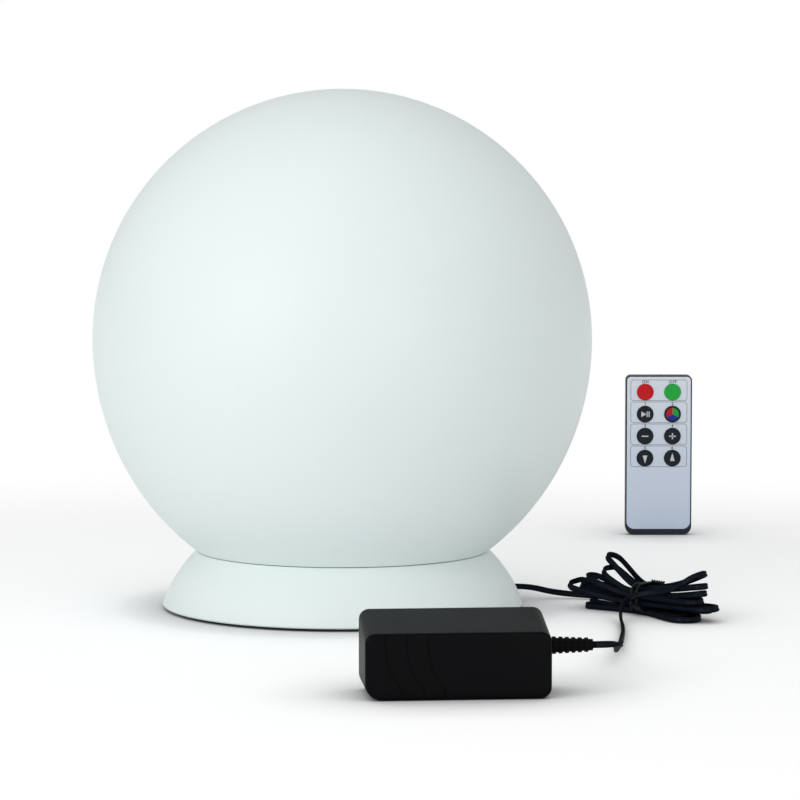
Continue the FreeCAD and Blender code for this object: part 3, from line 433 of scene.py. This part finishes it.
knots = hankKnots()
exitWay = Vector((math.cos(leadRoute["exitAngle"]), math.sin(leadRoute["exitAngle"]), 0))
exitPoint = exitWay * leadRoute["exitReach"] * mm + Vector((0, 0, leadRoute["exitHeight"] * mm))
baseRoute = [exitPoint, exitPoint + exitWay * leadRoute["straight"] * mm, Vector(leadRoute["dip"]) * mm,
             knots[0][0] - knots[0][1] * leadRoute["beforeHank"] * mm]
hankRoute = [knots[0][0]]
for (start, wayIn), (end, wayOut) in zip(knots, knots[1:]):
    hankRoute += quarterTurn(start, wayIn, end, wayOut)
adapterRoute = [knots[-1][0] + knots[-1][1] * leadRoute["pastHank"] * mm]
adapterRoute += [Vector(point) * mm for point in leadRoute["toAdapter"]]
bootEnd = adapter["length"] + adapter["boot"]
adapterRoute += [leadAtAdapter(bootEnd + adapter["pastBoot"]), leadAtAdapter(bootEnd)]


def splineLine(name, points):  # the smooth line that a spline draws from these points
    curve = bpy.data.curves.new(name, "CURVE")
    curve.dimensions = "3D"
    curve.resolution_u = lead["splineSteps"]
    spline = curve.splines.new("NURBS")
    spline.points.add(len(points) - 1)
    for slot, point in zip(spline.points, points):
        slot.co = (*point, 1)
    spline.order_u = lead["splineOrder"]
    spline.use_endpoint_u = True
    holder = bpy.data.objects.new(name, curve)
    bpy.context.scene.collection.objects.link(holder)
    mesh = bpy.data.meshes.new_from_object(holder)
    line = [v.co.copy() for v in mesh.vertices]
    bpy.data.objects.remove(holder)
    bpy.data.meshes.remove(mesh)
    return line


def twinProfile():  # a figure of eight: two round cores with a web between them
    core = lead["thickness"] / 2
    apart = lead["width"] / 2 - core
    shape = []
    turn = lead["coreTurn"]
    for side in (1, -1):
        for i in range(lead["sides"]):
            a = math.radians(-turn + 2 * turn * i / (lead["sides"] - 1))
            shape.append((side * (apart + core * math.cos(a)), side * core * math.sin(a)))
    return shape


def lineLength(line):
    return sum((b - a).length for a, b in zip(line, line[1:]))


def leadRoll(travelled, whole):  # how far it leans over, with the half twist at the adapter
    spot = Vector((travelled * lead["wanderScale"], *lead["wanderStart"]))
    roll = math.radians(lead["onEdge"]) + lead["wander"] * noise.noise(spot)
    turned = (travelled - whole + lead["twistLength"] + lead["twistEnd"]) / lead["twistLength"]
    turned = min(max(turned, 0), 1)
    return roll + math.pi * turned * turned * (3 - 2 * turned)


def sweptLead(name, line):
    profile = twinProfile()
    verts, faces = [], []
    travelled, whole = 0.0, lineLength(line)
    for i, point in enumerate(line):
        before, after = line[max(i - 1, 0)], line[min(i + 1, len(line) - 1)]
        way = (after - before).normalized()
        travelled += (point - before).length
        side = way.cross(Vector((0, 0, 1))).normalized()
        upward = side.cross(way)
        roll = leadRoll(travelled, whole)
        flat = side * math.cos(roll) + upward * math.sin(roll)
        thick = upward * math.cos(roll) - side * math.sin(roll)
        verts += [point + flat * a + thick * b for a, b in profile]
    count = len(profile)
    for i in range(len(line) - 1):
        for j in range(count):
            k = (j + 1) % count
            faces.append((i * count + j, i * count + k, (i + 1) * count + k, (i + 1) * count + j))
    faces.append(tuple(reversed(range(count))))
    faces.append(tuple(range((len(line) - 1) * count, len(line) * count)))
    mesh = bpy.data.meshes.new(name)
    mesh.from_pydata(verts, [], faces)
    mesh.update()
    grooveSheen = mesh.attributes.new("grooveSheen", "FLOAT", "POINT")  # full where the two cores meet, where the painted blue highlight goes
    grooveSheen.data.foreach_set("value", [abs(2 * (i % lead["sides"]) / (lead["sides"] - 1) - 1)
                                      for i in range(len(verts))])
    piece = bpy.data.objects.new(name, mesh)
    bpy.context.scene.collection.objects.link(piece)
    return piece


def activate(piece):
    bpy.ops.object.select_all(action="DESELECT")
    piece.select_set(True)
    bpy.context.view_layer.objects.active = piece


leadLine = splineLine("leadSpline", baseRoute + hankRoute + adapterRoute)
leadPiece = sweptLead("twinLead", leadLine)
activate(leadPiece)
bpy.ops.object.mode_set(mode="EDIT")
bpy.ops.mesh.select_all(action="SELECT")
bpy.ops.mesh.normals_make_consistent(inside=False)
bpy.ops.object.mode_set(mode="OBJECT")
bpy.ops.object.shade_smooth()
leadPiece.data.materials.append(finishes["lead"])
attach(leadPiece, "lamp_base")
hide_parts("base_lead", "cord_hank", "adapter_lead")


remotePrint = {  # in millimetres, with front and keyFront the two faces that the prints lie on
    "front": 350.0,
    "keyFront": 349.2,
    "height": 0.06,
    "frameHalfWidth": 19.4,
    "frameTop": 8.5,  # from the keys' centre up, and frameFoot from it down
    "frameFoot": 6.05,
    "frameCorner": 2.0,
    "frameCornerSteps": 5,
    "frameLine": 0.25,
    "captionAbove": 7.0,
    "captionSize": 2.7,
    "captionSpacing": 1.25,
    "captionWeight": 0.05,
    "captions": {"on_key": "ON", "off_key": "OFF", "play_key": "1", "colour_key": "2",
                 "minus_key": "3", "plus_key": "4", "slow_key": "5", "quick_key": "6"},
}


def settle(piece):  # its place, turn and scale go into its mesh
    activate(piece)
    bpy.ops.object.transform_apply(location=True, rotation=True, scale=True)


def joined(pieces, name):
    activate(pieces[0])
    for piece in pieces[1:]:
        piece.select_set(True)
    bpy.ops.object.join()
    pieces[0].name = name
    return pieces[0]


def keyCentre(key):
    low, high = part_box(key)
    return (low[0] + high[0]) / 2, (low[2] + high[2]) / 2


def thicken(depth):  # from a flat print that faces the viewer to a thin raised one, in edit mode
    bpy.ops.mesh.select_all(action="SELECT")
    bpy.ops.mesh.extrude_region_move(TRANSFORM_OT_translate={"value": (0, -depth, 0)})
    bpy.ops.mesh.select_all(action="SELECT")
    bpy.ops.mesh.normals_make_consistent(inside=False)
    bpy.ops.object.mode_set(mode="OBJECT")


def printedFrame(keyLeft, keyRight):  # the thin line round one pair of keys
    x1, z1 = keyCentre(keyLeft)
    x2 = keyCentre(keyRight)[0]
    top, foot = z1 + remotePrint["frameTop"] * mm, z1 - remotePrint["frameFoot"] * mm
    centre = ((x1 + x2) / 2, remotePrint["front"] * mm, (top + foot) / 2)
    bpy.ops.mesh.primitive_plane_add(size=1, rotation=(math.pi / 2, 0, 0), location=centre)
    piece = bpy.context.object
    piece.scale = (2 * remotePrint["frameHalfWidth"] * mm, top - foot, 1)
    settle(piece)
    bpy.ops.object.mode_set(mode="EDIT")
    bpy.ops.mesh.select_all(action="SELECT")
    bpy.ops.mesh.bevel(offset=remotePrint["frameCorner"] * mm,
                       segments=remotePrint["frameCornerSteps"], affect="VERTICES")
    bpy.ops.mesh.inset(thickness=remotePrint["frameLine"] * mm)
    bpy.ops.mesh.delete(type="ONLY_FACE")
    thicken(remotePrint["height"] * mm)
    return piece


def printedWord(text, x, z):
    bpy.ops.object.text_add()
    piece = bpy.context.object
    piece.data.body = text
    piece.data.size = remotePrint["captionSize"] * mm
    piece.data.align_x = "CENTER"
    piece.data.align_y = "CENTER"
    piece.data.space_character = remotePrint["captionSpacing"]
    piece.data.offset = remotePrint["captionWeight"] * mm
    bpy.ops.object.convert(target="MESH")
    piece = bpy.context.object
    piece.rotation_euler = (math.pi / 2, 0, 0)
    piece.location = (x, remotePrint["front"] * mm, z)
    settle(piece)
    bpy.ops.object.mode_set(mode="EDIT")
    thicken(remotePrint["height"] * mm)
    return piece


keySigns = {  # width, height and place across of each arrow and bar, and an arrow's turn
    "play_key": {"name": "playSign", "arrows": [(4.0, 3.6, -1.5, 90)],
                 "bars": [(0.7, 3.8, 1.3), (0.8, 3.8, 2.7)]},
    "minus_key": {"name": "minusSign", "arrows": [], "bars": [(4.6, 0.85, 0)]},
    "plus_key": {"name": "plusSign", "arrows": [], "bars": [(4.6, 0.85, 0), (0.85, 4.2, 0)]},
    "slow_key": {"name": "slowSign", "arrows": [(3.2, 5.6, 0, 180)], "bars": []},
    "quick_key": {"name": "quickSign", "arrows": [(3.2, 5.6, 0, 0)], "bars": []},
}
signCorner = {"bar": 0.12 * mm, "arrow": 0.15 * mm, "steps": 2}


def roundedSign(corner):  # its corners rounded and its print raised
    bpy.ops.object.mode_set(mode="EDIT")
    bpy.ops.mesh.select_all(action="SELECT")
    bpy.ops.mesh.bevel(offset=corner, segments=signCorner["steps"], affect="VERTICES")
    thicken(remotePrint["height"] * mm)


def keyBar(width, height, x, z):
    centre = (x, remotePrint["keyFront"] * mm, z)
    bpy.ops.mesh.primitive_plane_add(size=1, rotation=(math.pi / 2, 0, 0), location=centre)
    piece = bpy.context.object
    piece.scale = (width * mm, height * mm, 1)
    settle(piece)
    roundedSign(signCorner["bar"])
    return piece


def keyArrow(width, height, x, z, turn):  # a narrow triangle, its tip up before the turn
    bpy.ops.mesh.primitive_circle_add(vertices=3, radius=1, fill_type="NGON")
    piece = bpy.context.object
    piece.scale = (width * mm / math.sqrt(3), height * mm / 1.5, 1)
    settle(piece)
    piece.rotation_euler = (math.pi / 2, math.radians(turn), 0)
    piece.location = (x, remotePrint["keyFront"] * mm, z)
    settle(piece)
    roundedSign(signCorner["arrow"])
    return piece


def finishPiece(piece, finish, body):
    piece.data.materials.clear()
    piece.data.materials.append(finishes[finish])
    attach(piece, body)


finishes["facePrint"] = rubberSkin("facePrint", (0.07, 0.08, 0.095), 0.45)
finishes["keyPrint"] = opalPlastic("keyPrint", (0.62, 0.66, 0.70))

facePrints = [printedFrame(a, b) for a, b in (("on_key", "off_key"), ("play_key", "colour_key"),
                                              ("minus_key", "plus_key"), ("slow_key", "quick_key"))]
for key, word in remotePrint["captions"].items():
    x, z = keyCentre(key)
    facePrints.append(printedWord(word, x, z + remotePrint["captionAbove"] * mm))
facePrint = joined(facePrints, "remoteFacePrint")
finishPiece(facePrint, "facePrint", "remote")

for key, sign in keySigns.items():
    x, z = keyCentre(key)
    pieces = [keyArrow(width, height, x + shift * mm, z, turn)
              for width, height, shift, turn in sign["arrows"]]
    pieces += [keyBar(width, height, x + shift * mm, z) for width, height, shift in sign["bars"]]
    finishPiece(joined(pieces, sign["name"]), "keyPrint", key)
print("remote printed: frames, captions and key signs")


hankTie = {  # two turns of thin wire round the hank's waist, and its twisted ends
    "halfWidth": 9.9,
    "foot": 0.95,
    "top": 17.6,
    "corner": 4.5,
    "cornerSteps": 6,
    "wire": 0.85,  # its radius, and wireSteps how round it is
    "wireSteps": 3,
    "turns": ((-1.1, -5.0), (1.2, 6.0)),  # place along the hank, and lean in degrees
    "tails": (((0.5, 6.0, 18.2), 12, 3), ((1.0, -11.2, 5.0), -12, 6)),  # place, heading and dip
    "tailTurns": 2.5,
    "tailLength": 8.0,
    "tailSteps": 40,
    "strandSides": 10,
    "strandRadius": 0.85,  # this and strandOut are shares of the wire's radius
    "strandOut": 0.8,
    "mergeWithin": 0.01 * mm,
    "smoothUnder": math.radians(40),
}


def wireTurn(u, lean):
    high, low = hankTie["top"], hankTie["foot"]
    bpy.ops.mesh.primitive_plane_add(size=1, rotation=(math.pi / 2, 0, math.pi / 2))
    piece = bpy.context.object
    piece.scale = (2 * hankTie["halfWidth"] * mm, (high - low) * mm, 1)
    settle(piece)
    bpy.ops.object.mode_set(mode="EDIT")
    bpy.ops.mesh.select_all(action="SELECT")
    bpy.ops.mesh.bevel(offset=hankTie["corner"] * mm, segments=hankTie["cornerSteps"],
                       affect="VERTICES")
    bpy.ops.mesh.delete(type="ONLY_FACE")
    bpy.ops.object.mode_set(mode="OBJECT")
    bpy.ops.object.convert(target="CURVE")
    piece = bpy.context.object
    piece.data.bevel_depth = hankTie["wire"] * mm
    piece.data.bevel_resolution = hankTie["wireSteps"]
    bpy.ops.object.convert(target="MESH")
    piece = bpy.context.object
    piece.rotation_euler = (0, 0, hank["angle"] + math.radians(lean))
    piece.location = hankPlace(u, 0, (high + low) / 2)
    settle(piece)
    return piece


def wireTail(place, heading, dip):  # one twisted pair of strands
    strands = []
    radius = hankTie["wire"] * hankTie["strandRadius"] * mm
    out = hankTie["wire"] * hankTie["strandOut"] * mm
    for start in (0, math.pi):
        bpy.ops.mesh.primitive_circle_add(vertices=hankTie["strandSides"], radius=radius,
                                          location=(out, 0, 0), rotation=(math.pi / 2, 0, 0))
        strand = bpy.context.object
        settle(strand)
        screw = strand.modifiers.new("twist", "SCREW")
        screw.angle = 2 * math.pi * hankTie["tailTurns"]
        screw.screw_offset = hankTie["tailLength"] * mm
        screw.steps = hankTie["tailSteps"]
        screw.render_steps = hankTie["tailSteps"]
        screw.use_merge_vertices = True
        bpy.ops.object.modifier_apply(modifier="twist")
        strand.rotation_euler = (0, 0, start)
        settle(strand)
        bpy.ops.object.mode_set(mode="EDIT")
        bpy.ops.mesh.select_all(action="SELECT")
        bpy.ops.mesh.remove_doubles(threshold=hankTie["mergeWithin"])
        bpy.ops.mesh.fill_holes(sides=0)
        bpy.ops.mesh.select_all(action="SELECT")
        bpy.ops.mesh.normals_make_consistent(inside=False)
        bpy.ops.object.mode_set(mode="OBJECT")
        strands.append(strand)
    tail = joined(strands, "wireTail")
    tail.rotation_euler = (0, math.radians(90 + dip), hank["angle"] + math.radians(heading))
    tail.location = hankPlace(*place)
    settle(tail)
    return tail


tiePieces = [wireTurn(u, lean) for u, lean in hankTie["turns"]]
tiePieces += [wireTail(place, heading, dip) for place, heading, dip in hankTie["tails"]]
tiePiece = joined(tiePieces, "wireTie")
bpy.ops.object.shade_smooth_by_angle(angle=hankTie["smoothUnder"])
finishPiece(tiePiece, "tie", "lamp_base")
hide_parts("hank_tie")
print("hank tied")


onLead = [nodes[n] for n in ("adapter_boot", "adapter_shell", "adapter_back", "adapter_blades",
                             "adapter_screws", "adapter_board", "adapter_transformer",
                             "adapter_capacitors", "cord_grommet")] + [tiePiece]


stage = {
    "floor": 60.0,
    "floorDrop": 0.0002,  # so that it shares no plane with the feet
    "floorColor": (0.93, 0.933, 0.936),
    "floorGlow": 0.2,
    "contact": 0.06,  # how far the painted contact shadow round what stands on the floor reaches
    "paintedShadeTone": 0.15,
    "contactSamples": 8,
    "fadeFrom": 0.38,  # from here on the floor turns to the plain white background
    "fadeTo": 0.8,
    "worldLight": 0.62,
}


def makeFloor():  # pale near the lamp, where it keeps the shadows and a painted contact shadow, and plain white further off
    bpy.ops.mesh.primitive_plane_add(size=stage["floor"], location=(0, 0, -stage["floorDrop"]))
    floor = bpy.context.object
    floor.name = "paleFloor"
    color, white = stage["floorColor"], (1, 1, 1, 1)
    paint = Paint("paleFloorPaint", color, 0.9, Specular_IOR_Level=0.05)
    own = Link(paint.tree, paint.shader.outputs[0])
    camera = paint.node("LightPath", {}, {}, "Is Camera Ray")
    seen = camera + paint.node("LightPath", {}, {}, "Is Glossy Ray")
    reach = paint.node("VectorMath", {"operation": "LENGTH"}, {0: paint.place()}, "Value")
    fadeEnds = {"Value": reach, "From Min": stage["fadeFrom"], "From Max": stage["fadeTo"]}
    fade = paint.node("MapRange", {"interpolation_type": "SMOOTHSTEP"}, fadeEnds)
    shine = paint.node("Emission", {}, {"Color": white, "Strength": 1.0})
    corner = paint.node("AmbientOcclusion", {"samples": stage["contactSamples"]},
                        {"Distance": stage["contact"]}, "AO")
    # painted shadow: the floor's colour darkens where ambient occlusion finds things close by
    paint.feed("Base Color", paint.blend(corner, toned(color, stage["paintedShadeTone"]), color))
    # the glow dims the same way, so that the painted shadow shows through it
    glow = paint.node("Emission", {}, {"Color": white, "Strength": corner * stage["floorGlow"]})
    bare = paint.node("AddShader", {}, {0: own, 1: glow})
    near = paint.node("MixShader", {}, {0: seen, 1: own, 2: bare})
    whole = paint.node("MixShader", {}, {0: fade * seen, 1: near, 2: shine})
    paint.tree.links.new(whole.socket, paint.tree.nodes["Material Output"].inputs["Surface"])
    floor.data.materials.append(paint.material)


def makeWorld():
    world = bpy.data.worlds.new("softRoom")
    bpy.context.scene.world = world
    world.use_nodes = True
    tree = world.node_tree
    background = tree.nodes["Background"]
    background.inputs["Color"].default_value = (1, 1, 1, 1)
    path = tree.nodes.new("ShaderNodeLightPath")
    seen = Link(tree, path.outputs["Is Camera Ray"]) + Link(tree, path.outputs["Is Transmission Ray"])
    level = seen * (1 - stage["worldLight"]) + stage["worldLight"]
    tree.links.new(level.socket, background.inputs["Strength"])


lamps = {
    "keySoftBox": {"place": (-1.5, -1.9, 0.9), "aim": (0, 0, 0.12), "size": 1.5, "power": 18},
    "fillSoftBox": {"place": (0.9, -2.1, 0.5), "aim": (0.1, 0, 0.1), "size": 1.2, "power": 5.8},
    "topSoftBox": {"place": (-0.3, -0.2, 2.2), "aim": (0, 0, 0.1), "size": 1.6, "power": 5},
}
view = {"aim": Vector((0.0346, 0, 0.125)), "distance": 2.5, "rise": math.radians(5.2), "lens": 186.75,
        "sensor": 36.0, "clipEnd": 200}


def softBox(name, place, aim, size, power):
    bpy.ops.object.light_add(type="AREA", location=place)
    lamp = bpy.context.object
    lamp.name = name
    lamp.data.size = size
    lamp.data.energy = power
    lamp.rotation_euler = (Vector(aim) - Vector(place)).to_track_quat("-Z", "Y").to_euler()


def makeCamera():
    backward = Vector((0, -math.cos(view["rise"]), math.sin(view["rise"])))
    place = view["aim"] + view["distance"] * backward
    bpy.ops.object.camera_add(location=place)
    camera = bpy.context.object
    camera.rotation_euler = (view["aim"] - place).to_track_quat("-Z", "Y").to_euler()
    camera.data.lens = view["lens"]
    camera.data.sensor_width = view["sensor"]
    camera.data.clip_end = view["clipEnd"]
    bpy.context.scene.camera = camera


makeFloor()
makeWorld()
for name, lamp in lamps.items():
    softBox(name, **lamp)
makeCamera()
bpy.context.scene.view_settings.view_transform = "Standard"
print("stage set")
